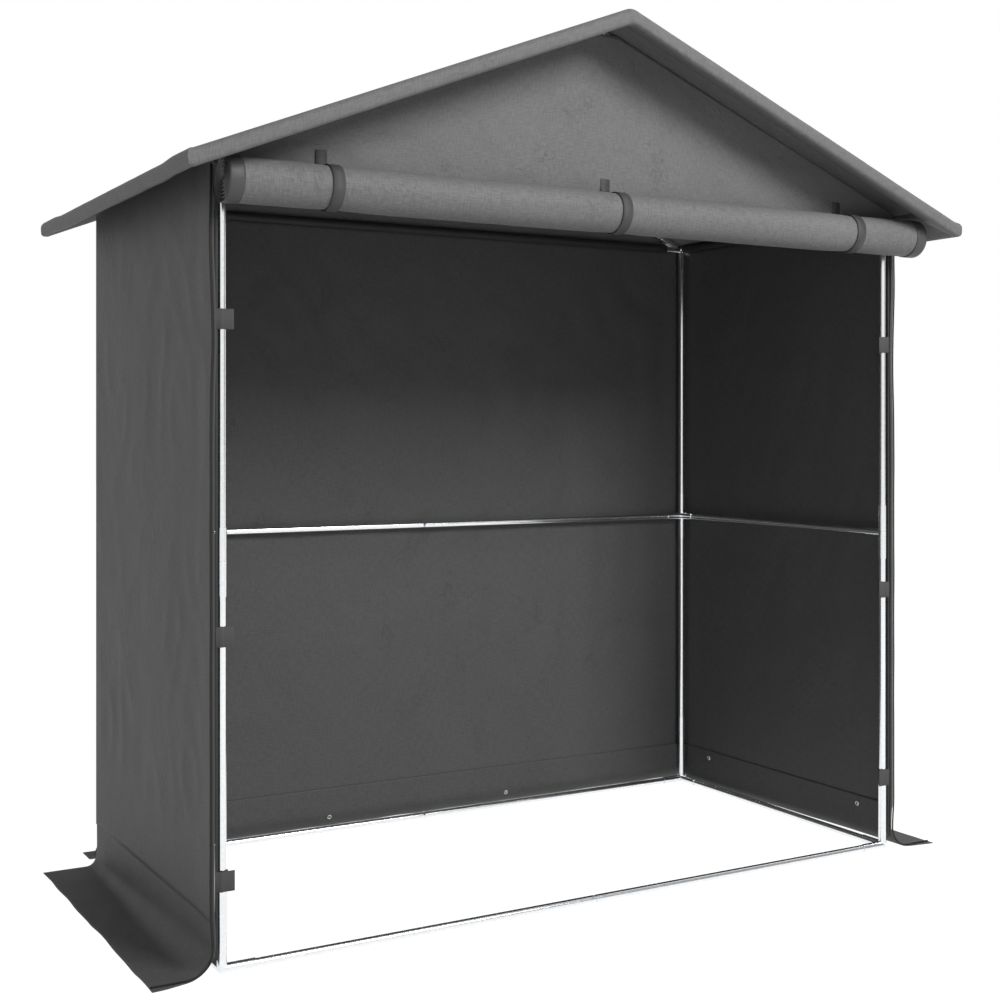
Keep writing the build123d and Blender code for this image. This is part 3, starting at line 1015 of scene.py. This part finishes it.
@dataclass
class SideWall:
    """One side wall with its front hem, zip and ground flap."""

    side: int
    face: float = 0.9838
    thickness: float = 0.0014
    low: float = 0.1140
    high: float = 1.7650
    front: float = 0.4738
    back: float = 0.4848
    corner: float = 0.022
    width: float = 0.972
    hollow: float = 0.008
    cells: tuple[int, int] = (96, 124)
    flap_width: float = 0.968
    flap_reach: float = 1.1225
    flap_round: float = 0.060
    flap_front: float = 0.0225
    flap_back: float = 0.4705
    flap_cells: tuple[int, int] = (86, 40)
    edge_low: float = 0.0036
    edge_gap: float = 0.008
    zip_size: Pair = (0.0056, 0.0018)
    zip_lies: float = 0.03
    facing_x: float = 0.9755
    facing_y: float = -0.4712
    facing_size: Pair = (0.0070, 0.0012)

    @property
    def label(self) -> str:
        """Name of the side."""
        return "left" if self.side < 0 else "right"

    def front_edge(self, z: float) -> float:
        """Give the front edge's place at a height."""
        return -(self.front + 0.0010 * soft(z, 0.0, 60.0 + self.side, 0.17, 1.0) * smooth(1.60, 1.50, z))

    def edge_x(self, z: float) -> float:
        """Give how far out the front edge lies, which is drawn in where the upper strap holds it.

        Args:
            z: Height.

        Returns:
            Distance from the middle in metres.
        """
        drawn_in = 0.0042 * bump(z, 1.36, 0.11)
        free = 0.0042 - drawn_in + 0.0016 * bump(z, 1.57, 0.07)
        return self.face + free * smooth(0.06, 0.14, z) + 0.0008 * soft(z, 1.0, 63.0 + self.side, 0.12, 1.0)

    def wall_point(self, u: float, v: float) -> Point:
        """Give a point of the wall.

        Args:
            u: Share from the front to the back.
            v: Share from the bottom to the top.

        Returns:
            The point in metres.
        """
        z = self.low + v * (self.high - self.low)
        y0, y1 = self.front_edge(z), self.back
        straight = y1 - self.corner - y0
        run = u * (straight + self.corner * math.pi / 2)
        angle = max(0.0, run - straight) / self.corner
        y = y0 + min(run, straight) + self.corner * math.sin(angle)
        held = smooth(0.0, 0.07, run) * smooth(0.0, 0.06, straight - run)
        held *= smooth(0.0, 0.10, self.high - z) * smooth(0.02, 0.27, z - self.low)
        bulge = 0.0050 * hang(y, z, 70.0 + 5 * self.side)
        bulge += 0.0010 * crease(y, z, 75.0 + self.side, 0.11, 0.16)
        out = self.face + (self.edge_x(z) - self.face) * (1 - smooth(0.0, 0.12, run))
        out += held * (max(-self.hollow, bulge) + SITE.rail_shows(z)) - self.corner * (1 - math.cos(angle))
        return (self.side * out, y, z)

    def flap_point(self, u: float, v: float) -> Point:
        """Give a point of the ground flap, whose turn is wide at the front and tight at the back.

        Args:
            u: Share from the front to the back.
            v: Share from the sewn edge to the free edge.

        Returns:
            The point in metres.
        """
        radius = self.flap_round * (1.0 - 0.55 * smooth(0.0, 1.0, u))
        x, z = spot_along(FLAP.section(self.face, radius, self.flap_reach), v)
        out, upright = smooth(0.45, 1.0, v), smooth(0.5, 0.25, v)
        front = -self.front - self.flap_front * out
        y = front + u * (self.flap_back + 0.0135 * upright - front)
        over = min(1.0, max(0.0, y - self.back + self.corner) / self.corner)
        x -= upright * self.corner * (1 - math.sqrt(1 - over * over))
        x += out * 0.0045 * soft(y, 0.0, 80.0 + self.side, 0.16, 1.0)
        x -= out * 0.006 * max(0.0, soft(y, 2.0, 82.0, 0.3, 1.0))
        bend, lift = FLAP.ripple(y, v, 84.0 + self.side, (0.13, 0.09))
        return (self.side * (x + bend), y, z + lift)

    def edge_path(self, inset: float) -> list[Vector]:
        """Give the path down the front edge and out along the flap.

        Args:
            inset: Distance of the path inward from the wall's outer face.

        Returns:
            Points from the top to the flap's tip.
        """
        r = self.flap_round - 0.004
        heights = [SITE.hem_top - i * 0.012 for i in range(140)]
        points = [Vector((self.side * (self.edge_x(z) - inset), self.front_edge(z), z)) for z in heights]
        start = self.face - inset + r
        tail = arc((start, self.edge_low + r), r, 180.0, 270.0, 12)
        tip = self.flap_reach - 0.002
        tail += [(start + (tip - start) * i / 11, self.edge_low) for i in range(1, 12)]
        points += [Vector((self.side * a, -self.front, b)) for a, b in tail]
        return evenly(points, self.edge_gap)

    def build(self) -> None:
        """Build the wall, its hem, its zip and its flap."""
        node = f"{self.label}_wall"
        size = (self.width, self.high - self.low)
        wall = cloth_grid(f"{node}_sheet", self.wall_point, size, self.cells, self.thickness)
        settle(wall, Finish.WALL, [node])
        trim = [self.build_hem(), self.build_zip(), self.build_facing()]
        size = (self.flap_width, path_length(FLAP.section(self.face, self.flap_round, self.flap_reach)))
        flap = cloth_grid(f"{self.label}_flap_sheet", self.flap_point, size, self.flap_cells, FLAP.thickness)
        settle(flap, Finish.FLAP, [f"{self.label}_ground_flap"])

    def build_hem(self) -> Thing:
        """Build the strip that turns in along the front edge, with a raised seam down its middle.

        Returns:
            The strip.
        """
        across = (0.0, 1.2, 2.6, 3.4, 4.4, 5.2, 6.8, 7.4, 6.8, 3.0, 0.6)
        forward = (0.6, -1.0, -1.2, -2.0, -2.0, -1.2, -1.0, 0.2, 1.4, 1.4, 1.4)
        outline = [(a * MM, b * MM) for a, b in zip(across, forward)]

        def section(spot: Vector, along: Vector) -> list[tuple[Vector, float]]:
            """Place the strip's outline, which narrows near the floor.

            Args:
                spot: Point on the edge.
                along: Direction of the edge there.

            Returns:
                Each corner's offset and its place across the flat strip.
            """
            inward = Vector((0, -1, 0)).cross(along).normalized() * self.side
            narrow = 1.0 - 0.7 * smooth(0.10, 0.01, spot.z)
            return [(Vector((0, b, 0)) - inward * (a * narrow), a) for a, b in outline]

        hem = sweep(f"{self.label}_hem_strip", self.edge_path(0.0006), section, turned_ends=True)
        return settle(hem, Finish.HEM, [f"{self.label}_wall"])

    def build_zip(self) -> Thing:
        """Build the zip's tape at the outer edge of the hem, which lies flat where it runs on the floor.

        Returns:
            The tape.
        """
        path = [p + Vector((self.side * 0.0004, -0.0026, 0)) for p in self.edge_path(-0.0012)]
        name = f"{self.label}_zip"
        strip = ribbon(name, path, lambda spot: ACROSS if spot.z > self.zip_lies else UPWARD, *self.zip_size)
        return settle(strip, Finish.ZIP, ["zip_strips"])

    def build_facing(self) -> Thing:
        """Build the facing behind the hem, which hangs straight down beside the post. Its dark colour is
        painted shade of the gap between the hem and the post.

        Returns:
            The facing.
        """
        heights = [SITE.hem_top - 0.02 * i for i in range(86)]
        path = [Vector((self.side * self.facing_x, self.facing_y, z)) for z in heights]
        strip = ribbon(f"{self.label}_facing", path, lambda spot: ACROSS, *self.facing_size)
        return settle(strip, Finish.SHADED_FACING, [f"{self.label}_wall"])


@dataclass
class BackWall:
    """The back wall and its ground flap."""

    face: float = 0.4862
    half: float = 0.9640
    low: float = 0.1140
    high: float = 1.7650
    hollow: float = 0.012
    thickness: float = 0.0014
    cells: tuple[int, int] = (150, 124)
    flap_reach: float = 0.6115
    flap_half: float = 0.9835
    flap_round: float = 0.060
    flap_turned_back: float = 0.0024
    flap_cells: tuple[int, int] = (160, 40)

    def wall_point(self, u: float, v: float) -> Point:
        """Give a point of the back wall.

        Args:
            u: Share from left to right.
            v: Share from the bottom to the top.

        Returns:
            The point in metres.
        """
        x = (2 * u - 1) * self.half
        z = self.low + v * (self.high - self.low)
        held = smooth(0.0, 0.07, self.half - abs(x)) * smooth(0.0, 0.12, self.high - z)
        held *= smooth(0.02, 0.27, z - self.low)
        bulge = 0.0075 * hang(x, z, 90.0) + 0.0014 * crease(x, z, 95.0, 0.13, 0.16)
        return (x, self.face + held * (max(-self.hollow, bulge) + SITE.rail_shows(z)), z)

    def flap_point(self, u: float, v: float) -> Point:
        """Give a point of the back flap.

        Args:
            u: Share from left to right.
            v: Share from the sewn edge to the free edge.

        Returns:
            The point in metres.
        """
        y, z = spot_along(FLAP.section(self.face, self.flap_round, self.flap_reach), v)
        upright = smooth(0.5, 0.2, v)
        x = (2 * u - 1) * (self.flap_half - 0.012 * upright)
        turn = smooth(0.05, 0.0, u) + smooth(0.95, 1.0, u)
        y -= 0.008 * turn * turn * upright
        y += smooth(0.45, 1.0, v) * (0.0030 * soft(x, 0.0, 97.0, 0.17, 1.0) - 0.002)
        bend, lift = FLAP.ripple(x, v, 99.0, (0.14, 0.09))
        return (x, y + bend, z + lift)

    def build(self) -> None:
        """Build the wall and the flap."""
        size = (2 * self.half, self.high - self.low)
        wall = cloth_grid("back_wall_sheet", self.wall_point, size, self.cells, self.thickness)
        settle(wall, Finish.WALL, ["back_wall"])
        upright = FLAP.lap_top - self.flap_round - FLAP.floor_gap
        lying = self.flap_reach - self.face - self.flap_round + self.flap_turned_back
        size = (2 * self.flap_half, upright + math.pi / 2 * self.flap_round + lying)
        flap = cloth_grid("back_flap_sheet", self.flap_point, size, self.flap_cells, FLAP.thickness)
        settle(flap, Finish.FLAP, ["back_ground_flap"])


@dataclass
class DoorRoll:
    """The rolled-up door, with the bands at its ends, its straps and the straps' tabs."""

    half: float = 0.997
    shift: float = 0.013
    centre_z: float = 1.697
    rear: float = 0.4784
    outer: float = 0.050
    step: float = 0.004
    turns: int = 11
    cells: int = 124
    cloth: float = 0.0014
    band_width: float = 0.035
    band_gap: float = 0.0018
    band_thickness: float = 0.0010
    strap_width: float = 0.028
    strap_gap: float = 0.0024
    strap_thickness: float = 0.0014
    strap_places: tuple[float, ...] = (-0.737, 0.018, 0.773)
    tab_face: float = -0.4783
    tab_low: float = 1.7485
    tab_step: float = 0.0025

    @property
    def middle(self) -> Pair:
        """Centre of the arcs below the middle of the roll."""
        return (-self.rear - self.outer, self.centre_z)

    @property
    def upper_middle(self) -> Pair:
        """Centre of the arcs above the middle of the roll."""
        return (-self.rear - self.outer - self.step, self.centre_z)

    def section(self) -> list[Point]:
        """Give the spiral from its outer end.

        Returns:
            Place, height and how much of the surface's folds reach it.
        """
        path = [(-self.rear, self.centre_z + 0.045 - 0.009 * i, 0.0) for i in range(5)]
        for turn in range(self.turns):
            radius = self.outer - turn * self.step
            steps = max(8, 22 - 2 * turn)
            share = 1.0 if turn < 2 else max(0.0, 0.7 - 0.12 * turn)
            if turn % 2 == 0:
                points = arc(self.middle, radius, 0.0, -180.0, steps)
            else:
                points = arc(self.upper_middle, radius, 180.0, 0.0, steps)
            for i, (a, b) in enumerate(points[1:]):
                start = smooth(0.0, 0.25, i / steps) if turn == 0 else 1.0
                path.append((a, b, share * start))
        return path

    def swell(self, x: float, angle: float) -> float:
        """Give how far the roll's surface stands out of its section, less under the straps.

        Args:
            x: Place along the roll.
            angle: Place round it, in turns.

        Returns:
            A distance in metres.
        """
        near = min(abs(x + self.shift - place) for place in self.strap_places)
        pinch = bump(near, 0.0, 0.055)
        ends = smooth(self.half, self.half - 0.08, abs(x))
        folds = soft(x, angle * 2.2, 110.0, 0.30, 1.0) * 0.0013
        folds += soft(x, angle * 5, 113.0, 0.05, 1.0) * 0.0005
        return (folds + 0.0006) * ends * (1 - pinch) - 0.0012 * pinch

    def build_sheet(self) -> None:
        """Build the spiral of cloth, whose two cut ends are a little uneven."""
        path = self.section()
        lengths = [0.0]
        for a, b in zip(path, path[1:]):
            lengths.append(lengths[-1] + math.dist(a[:2], b[:2]))
        middle = Vector((0, *self.middle))
        points: list[Point] = []
        flat: list[Pair] = []
        for j in range(self.cells + 1):
            x = -self.half + 2 * self.half * j / self.cells
            for (a, b, share), run in zip(path, lengths):
                away = Vector((0, a, b)) - middle
                grow = self.swell(x, math.atan2(away.z, away.y) / FULL_TURN) * share
                spot = middle + away * (1 + grow / max(0.01, away.length))
                edge = abs(0.0016 * soft(run, 0.0, 117.0, 0.05, 1.0)) if j in (0, self.cells) else 0.0
                points.append((x + self.shift - math.copysign(edge, x), spot.y, spot.z))
                flat.append((x + self.half, run))
        roll = mesh_object("door_roll_sheet", points, quads(self.cells + 1, len(path), turned=True), flat)
        thicken(roll, self.cloth).material_offset_rim = 1
        settle(roll, Finish.ROLL, ["door_roll"])
        # The cut edges take the near-black edge finish: painted shade at the roll's ends.
        roll.data.materials.append(finish_of(Finish.SHADED_EDGE))

    def wrap(self, gap: float, last: float) -> list[Pair]:
        """Give a path round the outside of the roll, from low at its rear.

        Args:
            gap: Distance of the path from the roll's middle surface.
            last: Angle where the path ends, above the rear.

        Returns:
            Places in the plane across the roll.
        """
        lower = arc(self.middle, self.outer + gap, -20.0, -180.0, 34)
        return lower + arc(self.upper_middle, self.outer - self.step + gap, 180.0, last, 24)[1:]

    def build_bands(self) -> None:
        """Build the smooth hem bands at both ends."""
        path = self.wrap(self.band_gap, 55.0)
        for side, label in ((-1, "left"), (1, "right")):

            def place(u: float, v: float) -> Point:
                """Give a point of the band.

                Args:
                    u: Share across the band.
                    v: Share round the roll.

                Returns:
                    The point in metres.
                """
                a, b = path[min(len(path) - 1, round(v * (len(path) - 1)))]
                x = self.shift + side * (self.half + 0.0006 - u * self.band_width)
                crown = 0.0005 * math.sin(math.pi * u)
                away = Vector((0, a - self.middle[0], b - self.centre_z)).normalized()
                return (x, a + away.y * crown, b + away.z * crown)

            size = (self.band_width, path_length(path))
            band = cloth_grid(f"{label}_end_band", place, size, (6, len(path) - 1), self.band_thickness)
            settle(band, Finish.BAND, ["roll_end_bands"])

    def build_straps(self) -> None:
        """Build the straps round the roll and the tabs on the gable above them."""
        y, z = self.upper_middle
        tail = [(y + t, z + self.outer - self.step + self.strap_gap) for t in (0.012, 0.024, 0.036, 0.046)]
        strap = self.wrap(self.strap_gap, 90.0) + tail
        tab = [(self.tab_face + 0.0004 * math.sin(k), self.tab_low + self.tab_step * k) for k in range(16)]
        kinds = (("roll_strap", strap, "roll_straps"), ("strap_tab", tab, "roll_strap_tabs"))
        size = (self.strap_width, self.strap_thickness)
        for number, place in enumerate(self.strap_places, 1):
            for name, path, node in kinds:
                spots = [Vector((place, a, b)) for a, b in path]
                band = ribbon(f"{name}_{number}", spots, lambda spot: ACROSS, *size)
                settle(band, Finish.WEBBING, [node])

    def build(self) -> None:
        """Build the whole roll."""
        self.build_sheet()
        self.build_bands()
        self.build_straps()


@dataclass
class PostStraps:
    """Hook tapes that tie the wall hems to the front posts."""

    heights: tuple[float, ...] = (0.201, 0.724, 1.405)
    width: float = 0.044
    thickness: float = 0.0016
    tail: float = 0.012
    gap: float = 0.0012
    steps: int = 28

    def path(self, side: int, loop: float) -> list[Pair]:
        """Give a tape's path from its loose tail, round the post and out to the hem.

        Args:
            side: -1 for the left post, 1 for the right one.
            loop: Radius of the tape round the post.

        Returns:
            Places in the plane of the floor.
        """
        cx, cy = side * SITE.post_x, -SITE.post_y
        path = [(cx - side * (loop + self.tail - i * 0.004), cy - loop - 0.0003) for i in range(3)]
        path.append((cx - side * loop * 0.9, cy - loop - 0.0001))
        path += arc((cx, cy), loop, 270.0, 270.0 + side * 360.0, self.steps)[:-1]
        path += [(cx + side * 0.003, cy - loop - 0.0014), (cx + side * 0.007, cy - loop - 0.0012)]
        end = ((0.011, -0.4722), (0.015, -0.4714), (0.0185, -0.4712))
        return path + [(cx + side * a, b) for a, b in end]

    def build(self) -> None:
        """Build three tapes on each post, the lowest round the thicker sleeve."""
        for side, label in ((-1, "left"), (1, "right")):
            for number, height in enumerate(self.heights, 1):
                over_sleeve = height - self.width / 2 < SITE.sleeve_top
                loop = (SITE.sleeve if over_sleeve else SITE.tube) + self.gap
                spots = [Vector((a, b, height)) for a, b in self.path(side, loop)]
                name = f"{label}_post_strap_{number}"
                strap = ribbon(name, spots, lambda spot: UPWARD, self.width, self.thickness)
                settle(strap, Finish.HOOK, ["post_straps"])


@dataclass
class Eyelets:
    """Metal eyelets near the bottom of the right wall and in the back flap, tilted with it."""

    outer: float = 0.0072
    inner: float = 0.0036
    steps: int = 28
    side_places: tuple[Point, ...] = ((0.9812, -0.342, 0.0985), (0.9812, 0.342, 0.0985))
    back_places: tuple[Point, ...] = ((-0.2985, 0.4882, 0.0390), (0.2985, 0.4882, 0.0390))
    back_tilt: float = math.radians(21.7)

    def build(self) -> None:
        """Build a flanged ring at each place, with its axis square to the cloth."""
        lip = [
            (self.inner, 0.0022),
            (self.inner + 0.0012, 0.0030),
            (self.outer - 0.0010, 0.0026),
            (self.outer, 0.0016),
        ]
        profile = [(r, -h) for r, h in lip] + lip[::-1]
        back_axis = Vector((0, math.cos(self.back_tilt), math.sin(self.back_tilt)))
        spots = [(Vector(place), ACROSS, Vector((0, 1, 0))) for place in self.side_places]
        spots += [(Vector(place), back_axis, -ACROSS) for place in self.back_places]
        for number, (centre, axis, across) in enumerate(spots, 1):
            upward = axis.cross(across)
            points = []
            for i in range(self.steps):
                angle = FULL_TURN * i / self.steps
                ray = across * math.cos(angle) + upward * math.sin(angle)
                points += [tuple(centre + ray * r + axis * h) for r, h in profile]
            faces = quads(self.steps, len(profile), ring_rows=True, ring_columns=True, turned=True)
            settle(mesh_object(f"eyelet_{number}", points, faces), Finish.EYELET)


# Studio


@dataclass(frozen=True)
class Lamp:
    """One soft square lamp: where it hangs, the width of its face in metres and its power in watts."""

    name: str
    place: Point
    size: float
    power: float
    aim: Point = (0.0, 0.0, 1.0)

    def build(self) -> None:
        """Hang the lamp."""
        data = bpy.data.lights.new(self.name, "AREA")
        data.shape = "SQUARE"
        data.size = self.size
        data.energy = self.power
        lamp = bpy.data.objects.new(self.name, data)
        lamp.location = self.place
        lamp.rotation_euler = (Vector(self.aim) - Vector(self.place)).to_track_quat("-Z", "Y").to_euler()
        bpy.context.scene.collection.objects.link(lamp)


@dataclass(frozen=True)
class Studio:
    """The camera, the pale floor and the lights."""

    eye: Point = (-2.0393, -3.5265, 1.1635)
    heading: float = math.radians(29.985)
    focal_px: float = 1488.4
    horizon_px: float = 431.67
    image_px: float = 1000.0
    sensor_mm: float = 36.0
    floor_half: float = 30.0
    floor_glow: float = 1.42
    glow_share: float = 0.70
    room_light: float = 0.27
    dark_panel: float = 0.34
    panels: int = 3
    lamps: tuple[Lamp, ...] = (
        Lamp("key", (1.65, -5.6, 4.6), 2.6, 285.0),
        Lamp("fill", (-4.5, -3.5, 2.6), 2.5, 2.0),
    )

    def camera(self) -> None:
        """Make the camera: level, with its horizon above the middle of the picture."""
        data = bpy.data.cameras.new("camera")
        data.sensor_fit = "HORIZONTAL"
        data.sensor_width = self.sensor_mm
        data.lens = self.focal_px / self.image_px * self.sensor_mm
        data.shift_y = (self.horizon_px - self.image_px / 2) / self.image_px
        data.clip_start, data.clip_end = 0.05, 100.0
        camera = bpy.data.objects.new("camera", data)
        camera.location = self.eye
        camera.rotation_euler = (math.pi / 2, 0.0, -self.heading)
        bpy.context.scene.collection.objects.link(camera)
        bpy.context.scene.camera = camera

    def floor(self) -> None:
        """Make the floor, near white, with a share of its whiteness for the camera and gloss alone."""
        half = self.floor_half
        points = [(-half, -half, 0), (half, -half, 0), (half, half, 0), (-half, half, 0)]
        floor = mesh_object("floor", points, [(0, 1, 2, 3)])
        material, tree = blank_material("studio_floor")
        path = add_node(tree, "LightPath").outputs
        seen = reckon(tree, "MAXIMUM", path["Is Camera Ray"], path["Is Glossy Ray"])
        share = reckon(tree, "MULTIPLY", seen, self.glow_share)
        matt = add_node(tree, "BsdfDiffuse", {"Color": linear("#e6e6e6")}).outputs[0]
        white = {"Color": linear("#ffffff"), "Strength": self.floor_glow}
        glow = add_node(tree, "Emission", white).outputs[0]
        close_surface(tree, "MixShader", {0: share, 1: matt, 2: glow})
        floor.data.materials.append(material)

    def world(self) -> None:
        """Light the room softly from all sides and show it white to the camera. In reflections it has three
        darker panels, which give the polished tubes their long streaks."""
        world = bpy.data.worlds.new("room")
        bpy.context.scene.world = world
        world.use_nodes = True
        tree = world.node_tree
        tree.nodes.clear()
        path = add_node(tree, "LightPath").outputs
        seen = reckon(tree, "MAXIMUM", path["Is Camera Ray"], path["Is Glossy Ray"])
        clear = reckon(tree, "MAXIMUM", seen, path["Is Transmission Ray"])
        strength = ramp(tree, clear, 0.0, 1.0, self.room_light, 1.0, "LINEAR")
        way = add_node(tree, "SeparateXYZ", {0: add_node(tree, "TexCoord").outputs[0]}).outputs
        turn = reckon(tree, "ARCTAN2", way[1], way[0])
        band = reckon(tree, "SINE", reckon(tree, "MULTIPLY_ADD", turn, float(self.panels), 0.7))
        panel = ramp(tree, band, -0.9, -0.2, self.dark_panel, 1.0)
        mirrored = {"Factor": path["Is Glossy Ray"], "A": 1.0, "B": panel}
        mirrored = add_node(tree, "Mix", mirrored, data_type="FLOAT").outputs[0]
        level = reckon(tree, "MULTIPLY", strength, mirrored)
        glow = add_node(tree, "Background", {"Color": linear("#ffffff"), "Strength": level})
        add_node(tree, "OutputWorld", {0: glow.outputs[0]})

    def build(self) -> None:
        """Set up the camera, the floor, the world and the lamps."""
        self.camera()
        self.floor()
        self.world()
        for lamp in self.lamps:
            lamp.build()


def main() -> None:
    """Build the shelter's pieces in order."""
    logging.basicConfig(level=logging.INFO, format="%(name)s: %(message)s")
    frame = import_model()
    bpy.context.scene.view_settings.view_transform = "Standard"
    Studio().build()
    TubeFrame().dress(frame["nodes"])
    RoofCover().build()
    Gable(end=-1, low=1.7375).build()
    Gable(end=1, low=1.7768).build()
    half_x, half_y = SITE.post_x - SITE.corner_x, SITE.post_y - SITE.corner_y
    RailPocket("front", "front_gable", (0.0, -SITE.post_y), (half_x, 0.0)).build()
    RailPocket("back", "back_wall", (0.0, SITE.post_y), (half_x, 0.0)).build()
    for side, label in ((-1, "left"), (1, "right")):
        RailPocket(label, f"{label}_wall", (side * SITE.post_x, 0.0), (0.0, half_y)).build()
        SideWall(side).build()
    BackWall().build()
    DoorRoll().build()
    PostStraps().build()
    Eyelets().build()


if __name__ == "__main__":
    main()
